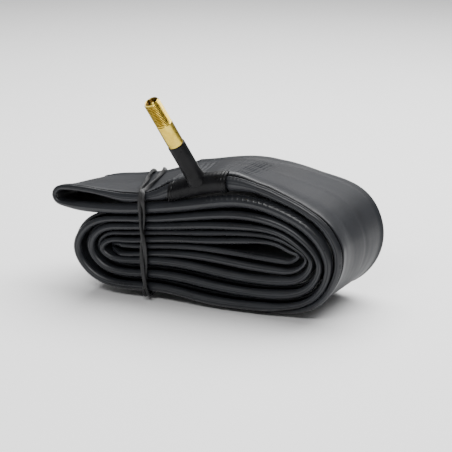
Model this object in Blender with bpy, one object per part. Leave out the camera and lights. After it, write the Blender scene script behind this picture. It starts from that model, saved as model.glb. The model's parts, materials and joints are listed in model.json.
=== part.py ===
"""Bicycle inner tube, let down, rolled flat and held by one rubber band wound twice round it.

The tube is one closed ring of flat rubber tube. The ring is pressed together into a double strip and
the strip is rolled up, so its edge shows as sixteen runs, numbered from the top (1) to the bottom (16).
+X runs along the pack, the tube's front edges face -Y, +Z is up, and the pack stands on its last run.
Lengths at the top of the file are in millimetres; MM turns them into metres.
"""
import math

import bmesh
import bpy
import numpy as np
from mathutils import Matrix, Vector

MM = 0.001
GAP = 0.3                       # air left between pieces that touch

# ---- tube: the strip's path, seen from the front -------------------------------------------------
TUBE_WIDTH = 52.0               # flat width of the tube
STRIP_THICK = 1.5               # two walls pressed together, less the gap between layers
RUN_X = (-44.0, -24.0, -2.0, 19.0, 39.0)
RUN_Z = {                       # height of each run's middle line at RUN_X
    1: (50.7, 53.2, 59.9, 62.2, 58.8),
    2: (43.8, 46.7, 51.0, 53.4, 50.5),
    3: (41.4, 43.9, 47.7, 50.1, 47.7),
    4: (39.0, 41.1, 44.5, 46.9, 44.9),
    5: (36.9, 39.1, 42.1, 44.2, 42.7),
    6: (34.8, 37.1, 39.8, 41.6, 40.6),
    7: (31.5, 33.9, 36.2, 38.2, 37.0),
    8: (28.0, 30.5, 32.6, 34.7, 34.2),
    9: (24.7, 27.3, 29.5, 28.9, 28.4),
    10: (21.2, 23.8, 24.9, 23.7, 22.9),
    11: (17.2, 19.7, 19.9, 18.1, 18.6),
    12: (14.5, 16.6, 16.5, 14.8, 15.2),
    13: (11.7, 13.4, 13.0, 11.5, 11.7),
    14: (7.9, 9.7, 8.8, 7.4, 7.7),
    15: (4.2, 6.0, 4.5, 3.3, 3.6),
    16: (2.1, 3.6, 1.6, 0.3, 0.5),
}
PATH_ORDER = (1, 16, 3, 14, 5, 12, 7, 10, 9, 8, 11, 6, 13, 4, 15, 2)
BEND_X = {                      # how far each bend reaches along X
    (1, 16): 69.0, (2, 15): 62.0, (3, 14): 60.0, (4, 13): 58.1,
    (5, 12): 56.2, (6, 11): 54.1, (7, 10): 51.4, (8, 9): 47.3,
    (3, 16): -70.6, (4, 15): -68.2, (5, 14): -64.5, (6, 13): -60.8,
    (7, 12): -56.4, (8, 11): -53.6, (9, 10): -47.5,
}
TAIL_X = (-60.0, -76.0)         # extra stations on the loose loop at the left
TAIL_Z = {1: (50.8, 50.6), 2: (42.6, 43.2)}
TAIL_END_X = -80.6
BACK_RISE = {                   # how much higher the back edge lies, at TAIL_X then RUN_X
    1: (-3.3, -5.7, -0.4, 4.9, 1.8, -0.5, -0.8),
    2: (-2.4, -4.6, 0.0, 0.0, 0.0, 0.0, 0.0),
}

# ---- tube: the strip's section -------------------------------------------------------------------
SET_BACK = {1: 0.0, 16: 8.0, 3: 5.2, 14: 5.2, 5: 5.2, 12: 5.0, 7: 0.4}   # 0 on every other run
FRONT_EDGE = {1: 5.2, 2: 4.6, 15: 3.3, 16: 1.7, 3: 1.7, 14: 1.7, 5: 1.7, 12: 1.7,
              10: 2.0, 7: 2.0, 8: 2.0, 9: 2.0, 11: 2.2, 6: 2.2}
BACK_EDGE = {1: 3.4, 2: 1.7, 4: 1.7, 6: 1.7, 11: 1.7, 13: 1.7, 15: 1.7}
EDGE_USUAL = 2.4                # thickness of a folded edge where no other is given
EDGE_TIP = 0.24                 # half thickness at the very edge, in the edge's own thicknesses
EDGE_FULL = 0.32                # how far in the edge is thickest, likewise
BEAD_REACH = 1.1                # how far in the strip is flat again, likewise
TURN_STEP = math.radians(12.0)  # most the path turns between two sections
LONG_STEP = 16.0                # most it runs between two sections

# ---- valve ---------------------------------------------------------------------------------------
VALVE_X = -2.7                  # where the valve leaves the front edge of run 1
VALVE_DEPTH = 1.6               # how far behind that edge its axis starts
VALVE_LEAN = (-0.263, -0.459, 0.848)
PAD_HALF = 15.0                 # half length of the thickened patch
PAD_WALL = 1.6                  # its wall in the middle
PAD_THINNING = 0.72             # share of the wall lost at its ends
PAD_LAP = 6.0                   # how far it laps over the strip, 2 mm less at its ends
PAD_STATIONS = (-1.0, -0.72, -0.4, 0.0, 0.4, 0.72, 1.0)
PASSAGE_R = 1.6                 # air way from the stem into the tube
SLEEVE_R = 4.15
SLEEVE_TOP = 25.0               # heights are along the valve, from the middle of the folded edge
SLEEVE_FOOT = 4.0
SLEEVE_FLARE = ((5.4, SLEEVE_FOOT), (4.7, 6.0), (4.3, 8.0))
STEM_R = 3.85
STEM_WAIST_R = STEM_R - 0.45    # inside the rubber
STEM_FOOT = 9.0
STEM_TOP = 50.0
THREAD_FROM = 37.0
THREAD_MEAN_R = 3.62            # mean of an 8V1 thread's crest and root
STEM_MOUTH_R = 3.35
CORE_TOP = 48.4
CORE_SIDES = 18
CORE_R = 2.6
CORE_BORE_R = CORE_R + GAP
STEM_BORE = ((CORE_BORE_R, 37.6), (2.5, 36.6), (2.5, 20.0), (1.9, 19.0))

# ---- valve core: outlines as (radius, height) ----------------------------------------------------
KEY_SLOT = (6.0, 1.5, 2.4)
PLUG = ((1.2, 43.2), (CORE_R - 0.35, 43.2), (CORE_R, 43.7), (CORE_R, CORE_TOP - 1.9),
        (1.95, CORE_TOP - 1.7), (1.95, CORE_TOP), (1.2, CORE_TOP))
BARREL = ((0.9, 31.6), (1.9, 31.6), (1.9, 38.2), (2.2, 38.2), (2.2, 38.6), (1.65, 38.6),
          (1.65, 41.4), (2.2, 41.4), (2.2, 42.9), (1.2, 42.9), (1.2, 42.2), (1.35, 42.2),
          (1.35, 32.6), (0.9, 32.6))
SEAL_RING = ((1.95, 38.9), (2.3, 38.9), (2.58, 40.2), (2.58, 41.1), (1.95, 41.1))
PIN = ((0, 28.2), (0.9, 28.2), (0.9, 28.7), (0.45, 28.7), (0.45, 40.9), (0.5, 40.9),
       (0.5, CORE_TOP - 0.6), (0.85, CORE_TOP - 0.3), (0.85, CORE_TOP + 0.5),
       (0.6, CORE_TOP + 0.8), (0, CORE_TOP + 0.8))
PIN_SIDES = 16
PIN_COLLAR = ((0.8, 41.0), (1.05, 41.0), (1.05, 41.6), (0.8, 41.6))
CUP = ((1.2, 28.9), (2.0, 28.9), (2.0, 30.7), (1.75, 30.7), (1.75, 29.5), (1.2, 29.5))
CUP_WASHER = ((0.8, 29.8), (1.45, 29.8), (1.45, 31.3), (0.8, 31.3))
SPRING_WIRE_R = 0.13
SPRING_R = 0.98
SPRING_SPAN = (33.1, 40.5)
SPRING_TURNS = 7
SPRING_STEPS = 10               # steps in one turn

# ---- rubber band ---------------------------------------------------------------------------------
BAND_R = 0.8
BAND_FRONT_X = -30.5            # where it runs down the front, over the back's top and under the foot
BAND_BACK_X = -49.0
BAND_FOOT_X = -34.0
BAND_SPREAD = 1.1               # half the distance between the two windings
BAND_CORNER = 3.2               # length of each rounded corner's legs
BAND_CORNER_STEPS = 5
BAND_FRONT_STEPS = 9


def clear_scene():
    for old in list(bpy.data.objects):
        bpy.data.objects.remove(old, do_unlink=True)


def material(name, colour, roughness, metallic=0.0):
    mat = bpy.data.materials.new(name)
    mat.use_nodes = True
    shader = mat.node_tree.nodes["Principled BSDF"]
    shader.inputs["Base Color"].default_value = (*colour, 1.0)
    shader.inputs["Roughness"].default_value = roughness
    shader.inputs["Metallic"].default_value = metallic
    return mat


def add_object(name, bm, mat, matrix=Matrix.Identity(4)):
    bmesh.ops.recalc_face_normals(bm, faces=bm.faces)
    mesh = bpy.data.meshes.new(name)
    bm.to_mesh(mesh)
    bm.free()
    mesh.shade_smooth()
    mesh.set_sharp_from_angle(angle=math.radians(40.0))
    mesh.materials.append(mat)
    obj = bpy.data.objects.new(name, mesh)
    obj.matrix_world = matrix
    bpy.context.collection.objects.link(obj)
    return obj


def skin_rings(rings, closed):
    """Bridge rings of equal point count into one surface; an open row of rings gets end caps."""
    bm = bmesh.new()
    loops = [[bm.verts.new(Vector(point) * MM) for point in ring] for ring in rings]
    count = len(loops)
    for i in range(count if closed else count - 1):
        here, there = loops[i], loops[(i + 1) % count]
        for j in range(len(here)):
            k = (j + 1) % len(here)
            bm.faces.new((here[j], here[k], there[k], there[j]))
    if not closed:
        bm.faces.new(loops[0])
        bm.faces.new(loops[-1])
    return bm


def turned(profile, segments, closed):
    """Turn (radius, height) points about Z; closed joins the last point to the first."""
    bm = bmesh.new()
    verts = [bm.verts.new((r * MM, 0.0, h * MM)) for r, h in profile]
    edges = [bm.edges.new(pair) for pair in zip(verts, verts[1:])]
    if closed:
        edges.append(bm.edges.new((verts[-1], verts[0])))
    bmesh.ops.spin(bm, geom=verts + edges, angle=2 * math.pi, steps=segments,
                   axis=(0, 0, 1), cent=(0, 0, 0))
    bmesh.ops.remove_doubles(bm, verts=bm.verts, dist=0.00001)
    return bm


def cut(obj, cutter):
    cutter.hide_render = True
    cutter.display_type = 'WIRE'
    mod = obj.modifiers.new("cut_" + cutter.name, 'BOOLEAN')
    mod.operation = 'DIFFERENCE'
    mod.solver = 'EXACT'
    mod.object = cutter


# ---- the strip's path ----------------------------------------------------------------------------
def run_points(run, left_to_right):
    points = list(zip(RUN_X, RUN_Z[run]))
    if run in TAIL_Z:
        points = list(zip(TAIL_X, TAIL_Z[run]))[::-1] + points
    return points if left_to_right else points[::-1]


def bend_points(start, end, reach):
    """Three points of the half ellipse that carries the strip from one run to the next."""
    mid_z = 0.5 * (start[1] + end[1])
    half = 0.5 * (start[1] - end[1])
    base = 0.5 * (start[0] + end[0])
    turns = [math.radians(a) for a in (-45.0, 0.0, 45.0)]
    return [(base + (reach - base) * math.cos(a), mid_z - half * math.sin(a)) for a in turns]


def path_controls():
    """Points of the closed path, each with the two runs it lies between and how far along it is."""
    controls = []
    for i, run in enumerate(PATH_ORDER):
        after = PATH_ORDER[(i + 1) % len(PATH_ORDER)]
        rightwards = i % 2 == 0
        here = run_points(run, rightwards)
        there = run_points(after, not rightwards)
        reach = BEND_X.get((min(run, after), max(run, after)), TAIL_END_X)
        controls += [(x, z, run, run, 0.0) for x, z in here]
        bend = bend_points(here[-1], there[0], reach)
        controls += [(x, z, run, after, 0.25 * (n + 1)) for n, (x, z) in enumerate(bend)]
    return controls


def periodic_spline(knots, values, at):
    """Cubic spline through values at knots (the last knot closes the loop), read at points at."""
    step = np.diff(knots)
    n = len(step)
    slope = (np.roll(values, -1, 0) - values) / step[:, None]
    system = np.zeros((n, n))
    for i in range(n):
        system[i, i - 1] += step[i - 1]
        system[i, i] += 2 * (step[i - 1] + step[i])
        system[i, (i + 1) % n] += step[i]
    bend = np.linalg.solve(system, 6 * (slope - np.roll(slope, 1, 0)))
    i = np.clip(np.searchsorted(knots, at, side='right') - 1, 0, n - 1)
    j = (i + 1) % n
    t, h = (at - knots[i])[:, None], step[i][:, None]
    first = slope[i] - h * (2 * bend[i] + bend[j]) / 6
    return values[i] + t * (first + t * (bend[i] / 2 + t * (bend[j] - bend[i]) / (6 * h)))


def back_rise(run, x):
    """How much higher the strip's back edge lies than its front edge."""
    stations = sorted(zip(TAIL_X + RUN_X, BACK_RISE.get(run, (0.0,) * 7)))
    return float(np.interp(x, *zip(*stations)))


def traits(control):
    """Set-back, front edge and back edge thickness, and back edge rise at a control point."""
    x, _, run, after, along = control
    blend = 0.5 - 0.5 * math.cos(math.pi * along)
    tables = ((SET_BACK, 0.0), (FRONT_EDGE, EDGE_USUAL), (BACK_EDGE, EDGE_USUAL))
    found = [(1 - blend) * table.get(run, usual) + blend * table.get(after, usual)
             for table, usual in tables]
    return found + [(1 - blend) * back_rise(run, x) + blend * back_rise(after, x)]


def strip_curve():
    """Controls, their places along the path, and the smooth curve read closely through them."""
    controls = path_controls()
    points = np.array([(c[0], c[1]) for c in controls])
    chord = np.linalg.norm(np.roll(points, -1, 0) - points, axis=1)
    knots = np.concatenate(([0.0], np.cumsum(chord)))
    fine = np.arange(0.0, knots[-1], 0.25)
    return controls, knots, fine, periodic_spline(knots, points, fine)


def strip_path():
    """Sections along the path: x, z, tangent, set-back and edge thicknesses, close where it bends."""
    controls, knots, fine, curve = strip_curve()
    tangent = np.roll(curve, -1, 0) - np.roll(curve, 1, 0)
    tangent /= np.linalg.norm(tangent, axis=1)[:, None]
    keep = [0]
    for i in range(1, len(fine)):
        turned_by = math.acos(min(1.0, float(tangent[i] @ tangent[keep[-1]])))
        if turned_by > TURN_STEP or fine[i] - fine[keep[-1]] > LONG_STEP:
            keep.append(i)
    marks = np.array([traits(c) for c in controls])
    marks = np.vstack((marks, marks[:1]))
    extra = np.stack([np.interp(fine[keep], knots, marks[:, k]) for k in range(4)], axis=1)
    return curve[keep], tangent[keep], extra


def strip_section(front, back):
    """Half thickness of the strip at distances from its front edge."""
    half = 0.5 * STRIP_THICK
    near = [(0.0, EDGE_TIP * front), (EDGE_FULL * front, 0.5 * front), (BEAD_REACH * front, half)]
    far = [(BEAD_REACH * back, half), (EDGE_FULL * back, 0.5 * back), (0.0, EDGE_TIP * back)]
    return near + [(TUBE_WIDTH - y, h) for y, h in far]


def make_tube(mat):
    centre, tangent, extra = strip_path()
    rings = []
    for (x, z), (tx, tz), (set_back, front, back, rise) in zip(centre, tangent, extra):
        upper, lower = [], []
        for y, half in strip_section(front, back):
            height = z + rise * y / TUBE_WIDTH
            depth = y - 0.5 * TUBE_WIDTH + set_back
            upper.append((x - tz * half, depth, height + tx * half))
            lower.append((x + tz * half, depth, height - tx * half))
        rings.append(upper + lower[::-1])
    return add_object("tube", skin_rings(rings, closed=True), mat)


# ---- valve ---------------------------------------------------------------------------------------
def run_height(run, x):
    """Height of a run's middle line at x, read from the smooth path."""
    controls, knots, fine, curve = strip_curve()
    on_run = [i for i, c in enumerate(controls) if c[2] == c[3] == run]
    part = (fine >= knots[on_run[0]]) & (fine <= knots[on_run[-1]])
    line = curve[part]
    line = line[np.argsort(line[:, 0])]
    return float(np.interp(x, line[:, 0], line[:, 1]))


def valve_frame():
    """Matrix with its origin in the folded edge of run 1 and +Z along the valve."""
    root = Vector((VALVE_X, VALVE_DEPTH - 0.5 * TUBE_WIDTH, run_height(1, VALVE_X))) * MM
    return Matrix.Translation(root) @ Vector(VALVE_LEAN).to_track_quat('Z', 'Y').to_matrix().to_4x4()


def pad_section(inner, along):
    """Outline (y, z) of the patch round the folded edge's middle, at along from -1 to 1."""
    wall = PAD_WALL * (1.0 - PAD_THINNING * along * along)
    lap = PAD_LAP - 2.0 * along * along
    angles = [math.radians(a) for a in range(90, 271, 30)]
    lip = inner + 0.3 * wall
    outer = [((inner + wall) * math.cos(a), (inner + wall) * math.sin(a)) for a in angles]
    within = [(inner * math.cos(a), inner * math.sin(a)) for a in angles[::-1]]
    return [(lap, lip)] + outer + [(lap, -lip), (lap, -inner)] + within + [(lap, inner)]


def make_pad(mat, frame):
    """Thick patch lapped round the front edge of run 1, thinning out towards both ends."""
    rings = []
    inner = 0.5 * FRONT_EDGE[1] + 2 * GAP
    y = EDGE_FULL * FRONT_EDGE[1] - 0.5 * TUBE_WIDTH
    for along in PAD_STATIONS:
        x = VALVE_X + PAD_HALF * along
        z = run_height(1, x)
        rings.append([(x, y + py, z + pz) for py, pz in pad_section(inner, along)])
    pad = add_object("valve_pad", skin_rings(rings, closed=False), mat)
    reach = 2 * PAD_LAP
    drill = turned([(0, -reach), (PASSAGE_R, -reach), (PASSAGE_R, reach), (0, reach)], 16, False)
    cut(pad, add_object("pad_passage", drill, mat, frame))
    return pad


def make_sleeve(mat, frame):
    """Rubber sleeve bonded on the stem; its foot spreads over the patch."""
    inner = STEM_WAIST_R + GAP
    profile = [(inner, SLEEVE_FOOT), *SLEEVE_FLARE, (SLEEVE_R, 11.0), (SLEEVE_R, SLEEVE_TOP - 0.5),
               (SLEEVE_R - 0.4, SLEEVE_TOP), (inner, SLEEVE_TOP)]
    sleeve = add_object("valve_sleeve", turned(profile, 28, True), mat, frame)
    reach = 0.5 * FRONT_EDGE[1] + GAP + PAD_WALL + GAP
    half = PAD_HALF + 5.0
    saddle = turned([(0, -half), (reach, -half), (reach, half), (0, half)], 32, False)
    slope = (run_height(1, VALVE_X + 5) - run_height(1, VALVE_X - 5)) / 10
    y = EDGE_FULL * FRONT_EDGE[1] - 0.5 * TUBE_WIDTH
    place = Vector((VALVE_X, y, run_height(1, VALVE_X))) * MM
    lay = Matrix.Translation(place) @ Matrix.Rotation(math.radians(90.0) - math.atan(slope), 4, 'Y')
    cut(sleeve, add_object("sleeve_saddle", saddle, mat, lay))
    return sleeve


def make_stem(mat, frame):
    """Brass stem: waisted inside the rubber, plain above it, threaded at the top, bored for a core."""
    shoulder = SLEEVE_TOP + GAP
    foot_bore = STEM_BORE[-1][0]
    profile = [(foot_bore, STEM_FOOT), (STEM_WAIST_R, STEM_FOOT), (STEM_WAIST_R, shoulder),
               (STEM_R, shoulder), (STEM_R, THREAD_FROM), (THREAD_MEAN_R, THREAD_FROM + 0.4),
               (THREAD_MEAN_R, STEM_TOP - 0.5), (STEM_MOUTH_R, STEM_TOP), (CORE_BORE_R, STEM_TOP),
               *STEM_BORE]
    return add_object("valve_stem", turned(profile, 32, True), mat, frame)


def make_core_plug(mat, frame):
    """Threaded swivel nut of the core, slotted across its top for the key."""
    plug = add_object("core_plug", turned(PLUG, CORE_SIDES, True), mat, frame)
    slot = bmesh.new()
    bmesh.ops.create_cube(slot, size=1.0)
    bmesh.ops.scale(slot, vec=Vector(KEY_SLOT) * MM, verts=slot.verts)
    cut(plug, add_object("key_slot", slot, mat, frame @ Matrix.Translation((0, 0, CORE_TOP * MM))))
    return plug


def make_core_barrel(mat, frame):
    """Tube of the core that holds the spring, with a ledge at its foot and a groove for the seal."""
    return add_object("core_barrel", turned(BARREL, CORE_SIDES, True), mat, frame)


def make_core_seal(mat, frame):
    return add_object("core_seal", turned(SEAL_RING, CORE_SIDES, True), mat, frame)


def make_core_pin(mat, frame):
    """Pin that opens the valve: a flat head in the plug, a collar for the spring, a headed foot."""
    return add_object("core_pin", turned(PIN, PIN_SIDES, False), mat, frame)


def make_spring_seat(mat, frame):
    return add_object("spring_seat", turned(PIN_COLLAR, PIN_SIDES, True), mat, frame)


def make_core_spring(mat, frame):
    """Small spring round the pin, from the barrel's ledge up to the collar."""
    low, high = SPRING_SPAN
    steps = SPRING_TURNS * SPRING_STEPS
    corners = [math.radians(a) for a in range(0, 360, 72)]
    rings = []
    for i in range(steps + 1):
        angle = 2 * math.pi * i / SPRING_STEPS
        height = low + (high - low) * i / steps
        out = Vector((math.cos(angle), math.sin(angle), 0.0))
        rings.append([out * (SPRING_R + SPRING_WIRE_R * math.cos(c))
                      + Vector((0, 0, height + SPRING_WIRE_R * math.sin(c))) for c in corners])
    return add_object("core_spring", skin_rings(rings, closed=False), mat, frame)


def make_core_cup(mat, frame):
    """Brass cup at the pin's foot that carries the rubber washer."""
    return add_object("core_cup", turned(CUP, CORE_SIDES, True), mat, frame)


def make_cup_seal(mat, frame):
    return add_object("cup_seal", turned(CUP_WASHER, CORE_SIDES, True), mat, frame)


# ---- rubber band ---------------------------------------------------------------------------------
def band_corners():
    """Corners of one winding on its middle line, from the front's top over the back to the front."""
    out = BAND_R + 2 * GAP
    half = 0.5 * TUBE_WIDTH
    front_x, back_x, foot_x = BAND_FRONT_X, BAND_BACK_X, BAND_FOOT_X
    top = run_height(1, front_x) + 0.5 * FRONT_EDGE[1] + out
    top_back = run_height(1, back_x) + back_rise(1, back_x) + 0.5 * BACK_EDGE[1] + out
    shoulder = run_height(3, back_x) + 0.5 * EDGE_USUAL
    low_back = run_height(16, foot_x) - 0.5 * EDGE_USUAL - out
    low = run_height(16, front_x) - 0.5 * FRONT_EDGE[16] - out
    return [(front_x, -half - out, top), (back_x, half + out, top_back),
            (back_x, half + SET_BACK[3] + out, shoulder),
            (foot_x, half + SET_BACK[16] + out, low_back), (front_x, -half - out, low)]


def rounded_line(corners, radius, per_corner):
    """Closed polyline through corners with each corner rounded off."""
    points = []
    count = len(corners)
    for i in range(count):
        before, corner, after = (Vector(corners[(i + k) % count]) for k in (-1, 0, 1))
        start = corner + (before - corner).normalized() * radius
        end = corner + (after - corner).normalized() * radius
        for n in range(per_corner + 1):
            t = n / per_corner
            points.append(start.lerp(corner, t).lerp(corner.lerp(end, t), t))
    return points


def one_winding():
    """One winding as (point, crossed) pairs; crossed grows from 0 to 1 up the front strand."""
    loop = rounded_line(band_corners(), BAND_CORNER, BAND_CORNER_STEPS)
    shares = [n / BAND_FRONT_STEPS for n in range(1, BAND_FRONT_STEPS)]
    up = [loop[-1].lerp(loop[0], share) for share in shares]
    crossed = [0.5 - 0.5 * math.cos(math.pi * share) for share in shares]
    return [(point, 0.0) for point in loop] + list(zip(up, crossed))


def make_band(mat):
    """One endless band wound twice: its windings lie side by side and cross once at the front."""
    path = []
    for sign, over in ((1.0, 0.0), (-1.0, 2 * BAND_R + GAP)):
        for point, crossed in one_winding():
            aside = Vector((sign * BAND_SPREAD * (1.0 - 2.0 * crossed), 0, 0))
            forward = Vector((0, -over * math.sin(math.pi * crossed), 0))
            path.append(point + aside + forward)
    rings = []
    for i, point in enumerate(path):
        along = (path[(i + 1) % len(path)] - path[i - 1]).normalized()
        side = (Vector((1, 0, 0)) - along * along.x).normalized()
        up = along.cross(side)
        turns = [math.radians(a) for a in range(0, 360, 45)]
        rings.append([point + side * BAND_R * math.cos(a) + up * BAND_R * math.sin(a) for a in turns])
    return add_object("elastic_band", skin_rings(rings, closed=True), mat)


def stand_on_origin(objects):
    """Move everything so that the pack's box stands centred on the origin."""
    bpy.context.view_layer.update()
    low = [min((o.matrix_world @ Vector(c))[k] for o in objects for c in o.bound_box) for k in range(3)]
    high = [max((o.matrix_world @ Vector(c))[k] for o in objects for c in o.bound_box) for k in range(3)]
    shift = Vector((-0.5 * (low[0] + high[0]), -0.5 * (low[1] + high[1]), -low[2]))
    for obj in bpy.data.objects:
        obj.location += shift


def main():
    clear_scene()
    butyl = material("butyl", (0.035, 0.037, 0.041), 0.5)
    brass = material("brass", (0.75, 0.55, 0.2), 0.3, 1.0)
    steel = material("steel", (0.6, 0.6, 0.58), 0.35, 1.0)
    seal = material("seal", (0.08, 0.02, 0.015), 0.6)
    band = material("band", (0.06, 0.06, 0.062), 0.55)
    frame = valve_frame()
    pieces = [make_tube(butyl), make_band(band), make_pad(butyl, frame), make_sleeve(butyl, frame),
              make_stem(brass, frame), make_core_plug(brass, frame), make_core_barrel(brass, frame),
              make_core_seal(seal, frame), make_core_pin(brass, frame), make_spring_seat(brass, frame),
              make_core_spring(steel, frame), make_core_cup(brass, frame), make_cup_seal(seal, frame)]
    stand_on_origin(pieces)


main()
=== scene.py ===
"""Looks of a let-down bicycle inner tube: rolled flat, held by a rubber band, brass valve standing up.

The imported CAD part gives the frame. The strip's path repeats the design's own driving dimensions, in
millimetres, and is placed by the valve's joint, so every detailed piece lies where its CAD solid lies.
"""
import json
import math

import bmesh
import bpy
import numpy as np
from mathutils import Matrix, Vector


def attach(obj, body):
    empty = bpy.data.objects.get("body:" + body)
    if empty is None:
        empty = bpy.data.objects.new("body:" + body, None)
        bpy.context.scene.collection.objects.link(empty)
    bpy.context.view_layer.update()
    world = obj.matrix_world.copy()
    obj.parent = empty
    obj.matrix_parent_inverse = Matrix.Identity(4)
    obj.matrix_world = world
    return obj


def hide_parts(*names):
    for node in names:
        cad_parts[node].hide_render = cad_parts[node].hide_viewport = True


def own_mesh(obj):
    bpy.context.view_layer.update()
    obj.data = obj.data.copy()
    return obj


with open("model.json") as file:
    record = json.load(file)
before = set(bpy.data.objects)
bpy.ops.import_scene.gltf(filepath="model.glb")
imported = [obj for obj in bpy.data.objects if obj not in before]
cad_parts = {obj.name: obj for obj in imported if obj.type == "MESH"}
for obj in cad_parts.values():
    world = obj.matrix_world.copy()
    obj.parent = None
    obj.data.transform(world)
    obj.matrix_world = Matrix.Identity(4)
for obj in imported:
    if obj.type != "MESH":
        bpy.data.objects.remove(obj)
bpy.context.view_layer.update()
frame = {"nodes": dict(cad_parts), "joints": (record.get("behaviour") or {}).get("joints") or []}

MM = 0.001

# ---- the strip's path, as designed ---------------------------------------------------------------
TUBE_WIDTH = 52.0
HALF_WIDTH = 0.5 * TUBE_WIDTH
STRIP_THICK = 1.52              # two walls, a little pressed
LAYER_GAP = 0.08                # least air between two layers' edges
RUN_X = (-44.0, -24.0, -2.0, 19.0, 39.0)
RUN_Z = {
    1: (50.7, 53.2, 59.9, 62.2, 58.8),
    2: (43.4, 46.1, 50.4, 53.5, 50.0),
    3: (41.1, 43.6, 47.3, 50.0, 47.0),
    4: (38.5, 40.7, 44.5, 46.9, 44.0),
    5: (36.6, 38.9, 42.1, 44.2, 41.9),
    6: (34.7, 37.0, 39.8, 41.6, 39.9),
    7: (31.5, 33.9, 36.2, 38.3, 37.0),
    8: (28.0, 30.5, 32.6, 34.9, 34.4),
    9: (25.6, 27.3, 28.9, 28.4, 27.5),
    10: (21.0, 23.6, 24.6, 23.3, 22.7),
    11: (18.1, 19.7, 18.8, 17.1, 17.7),
    12: (14.3, 15.5, 14.2, 12.7, 13.6),
    13: (11.8, 13.0, 11.7, 10.2, 11.1),
    14: (8.1, 8.8, 6.8, 6.0, 7.4),
    15: (5.3, 6.2, 4.0, 3.4, 5.2),
    16: (3.2, 3.9, 1.6, 0.3, 1.7),
}
PATH_ORDER = (1, 16, 3, 14, 5, 12, 7, 10, 9, 8, 11, 6, 13, 4, 15, 2)
BEND_X = {
    (1, 16): 69.3, (2, 15): 61.9, (3, 14): 59.8, (4, 13): 57.5,
    (5, 12): 55.5, (6, 11): 53.5, (7, 10): 51.1, (8, 9): 47.5,
    (3, 16): -71.9, (4, 15): -68.9, (5, 14): -65.2, (6, 13): -61.2,
    (7, 12): -57.6, (8, 11): -54.9, (9, 10): -51.6,
}
SHOULDER_IN = {                 # how far the upper half of each right hand bend sags inward
    (2, 15): 2.0, (3, 14): 2.2, (4, 13): 2.3, (5, 12): 1.9, (6, 11): 2.1, (7, 10): 1.7, (8, 9): 1.5,
}
BEND_EDGE = {                   # thickness of the front edge in the middle of each bend
    (2, 15): 6.0, (4, 13): 2.7, (6, 11): 2.9, (7, 10): 2.0, (8, 9): 2.2,
    (4, 15): 4.2, (6, 13): 3.8, (8, 11): 3.0, (9, 10): 1.9,
}
TAIL_X = (-60.0, -76.0)
TAIL_Z = {1: (50.8, 50.6), 2: (42.6, 43.2)}
TAIL_END_X = -80.6
BACK_RISE = {
    1: (-3.3, -5.7, -0.4, 4.9, 1.8, -0.5, -0.8),
    2: (-2.4, -4.6, 0.0, 0.0, 0.0, 0.0, 0.0),
}
SET_BACK = {1: 0.0, 16: 8.0, 3: 5.2, 14: 5.2, 5: 5.2, 12: 5.0, 7: 0.4}
FRONT_EDGE = {1: 5.3, 2: 6.0, 3: 1.8, 4: 4.1, 5: 1.8, 6: 3.6, 7: 2.4, 8: 3.2, 9: 2.8, 10: 3.8,
              11: 4.4, 12: 1.8, 13: 4.2, 14: 1.8, 15: 4.4, 16: 1.9}
FRONT_LEFT = {2: 5.2, 4: 2.8, 6: 3.2, 7: 1.9, 8: 2.6, 9: 2.0, 10: 2.2, 11: 3.6, 13: 4.0, 15: 4.6}
FRONT_RIGHT = {6: 2.6, 7: 1.8, 8: 1.8, 9: 3.0, 10: 3.8, 11: 4.9, 13: 5.2, 15: 4.6}
BEND_SET_BACK = {(9, 10): 6.0}
RIM = (                         # run 1's edge: distance along the path, thickness, shift outward
    (-18.0, 4.8, 0.0), (-8.0, 2.6, 0.0), (0.0, 2.8, 0.6), (16.0, 3.2, 0.35), (26.0, 4.8, -0.5),
    (32.0, 6.0, -1.2), (40.0, 5.0, -1.3), (45.0, 4.2, -1.1), (52.0, 7.0, -0.4), (58.0, 9.2, 0.6),
    (62.0, 9.4, 0.4), (90.0, 9.4, 0.1), (93.5, 9.2, 0.0), (97.0, 7.8, -0.1), (101.0, 6.3, -0.3),
    (105.0, 5.5, -0.6), (110.0, 5.8, -0.95), (117.0, 5.0, -1.7), (125.0, 4.6, -2.7),
    (132.0, 4.8, -3.7), (140.0, 5.4, -3.9), (148.0, 5.6, -3.4), (156.0, 5.5, -2.4),
    (165.0, 5.4, -2.3), (174.0, 5.2, -2.5), (190.0, 4.4, -1.2), (208.0, 3.2, -0.3), (226.0, 2.0, 0.0),
)
BACK_EDGE = {1: 3.4, 2: 1.9, 4: 1.9, 6: 1.9, 11: 1.9, 13: 1.9, 15: 1.9}
EDGE_USUAL = 2.6
MOULD_LINE_AT = 1.62            # distance of run 1's mould line from the front edge
PATH_STEP = 1.3                 # usual distance between two sections of the fine tube
SAMPLING = (                    # up to this place (from the end if negative), share of that step
    (40.0, 1.0), (86.0, 0.35), (122.0, 0.16), (-142.0, 1.0), (-76.0, 0.2), (0.0, 1.0),
)

VALVE_X = -2.7
VALVE_DEPTH = 1.6
SLEEVE_R = 4.15
SLEEVE_TOP = 25.0
STEM_R = 3.85
STEM_TOP = 50.0
THREAD_FROM = 37.0
THREAD_ROOT_R = 3.42
THREAD_PITCH = 0.794
CORE_TOP = 48.4
CORE_BORE_R = 2.9
SPRING_R = 0.98
SPRING_WIRE_R = 0.13
SPRING_SPAN = (33.1, 40.5)

CAMERA_AROUND = 24.0            # degrees round from the front
CAMERA_UP = 15.5
CAMERA_AWAY = 0.75
CAMERA_LENS = 123.2
CAMERA_LOOKS_AT = (0.0, 0.0, 33.7)


# ---- the strip's path ----------------------------------------------------------------------------
def run_points(run, left_to_right):
    points = list(zip(RUN_X, RUN_Z[run]))
    if run in TAIL_Z:
        points = list(zip(TAIL_X, TAIL_Z[run]))[::-1] + points
    return points if left_to_right else points[::-1]


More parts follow.
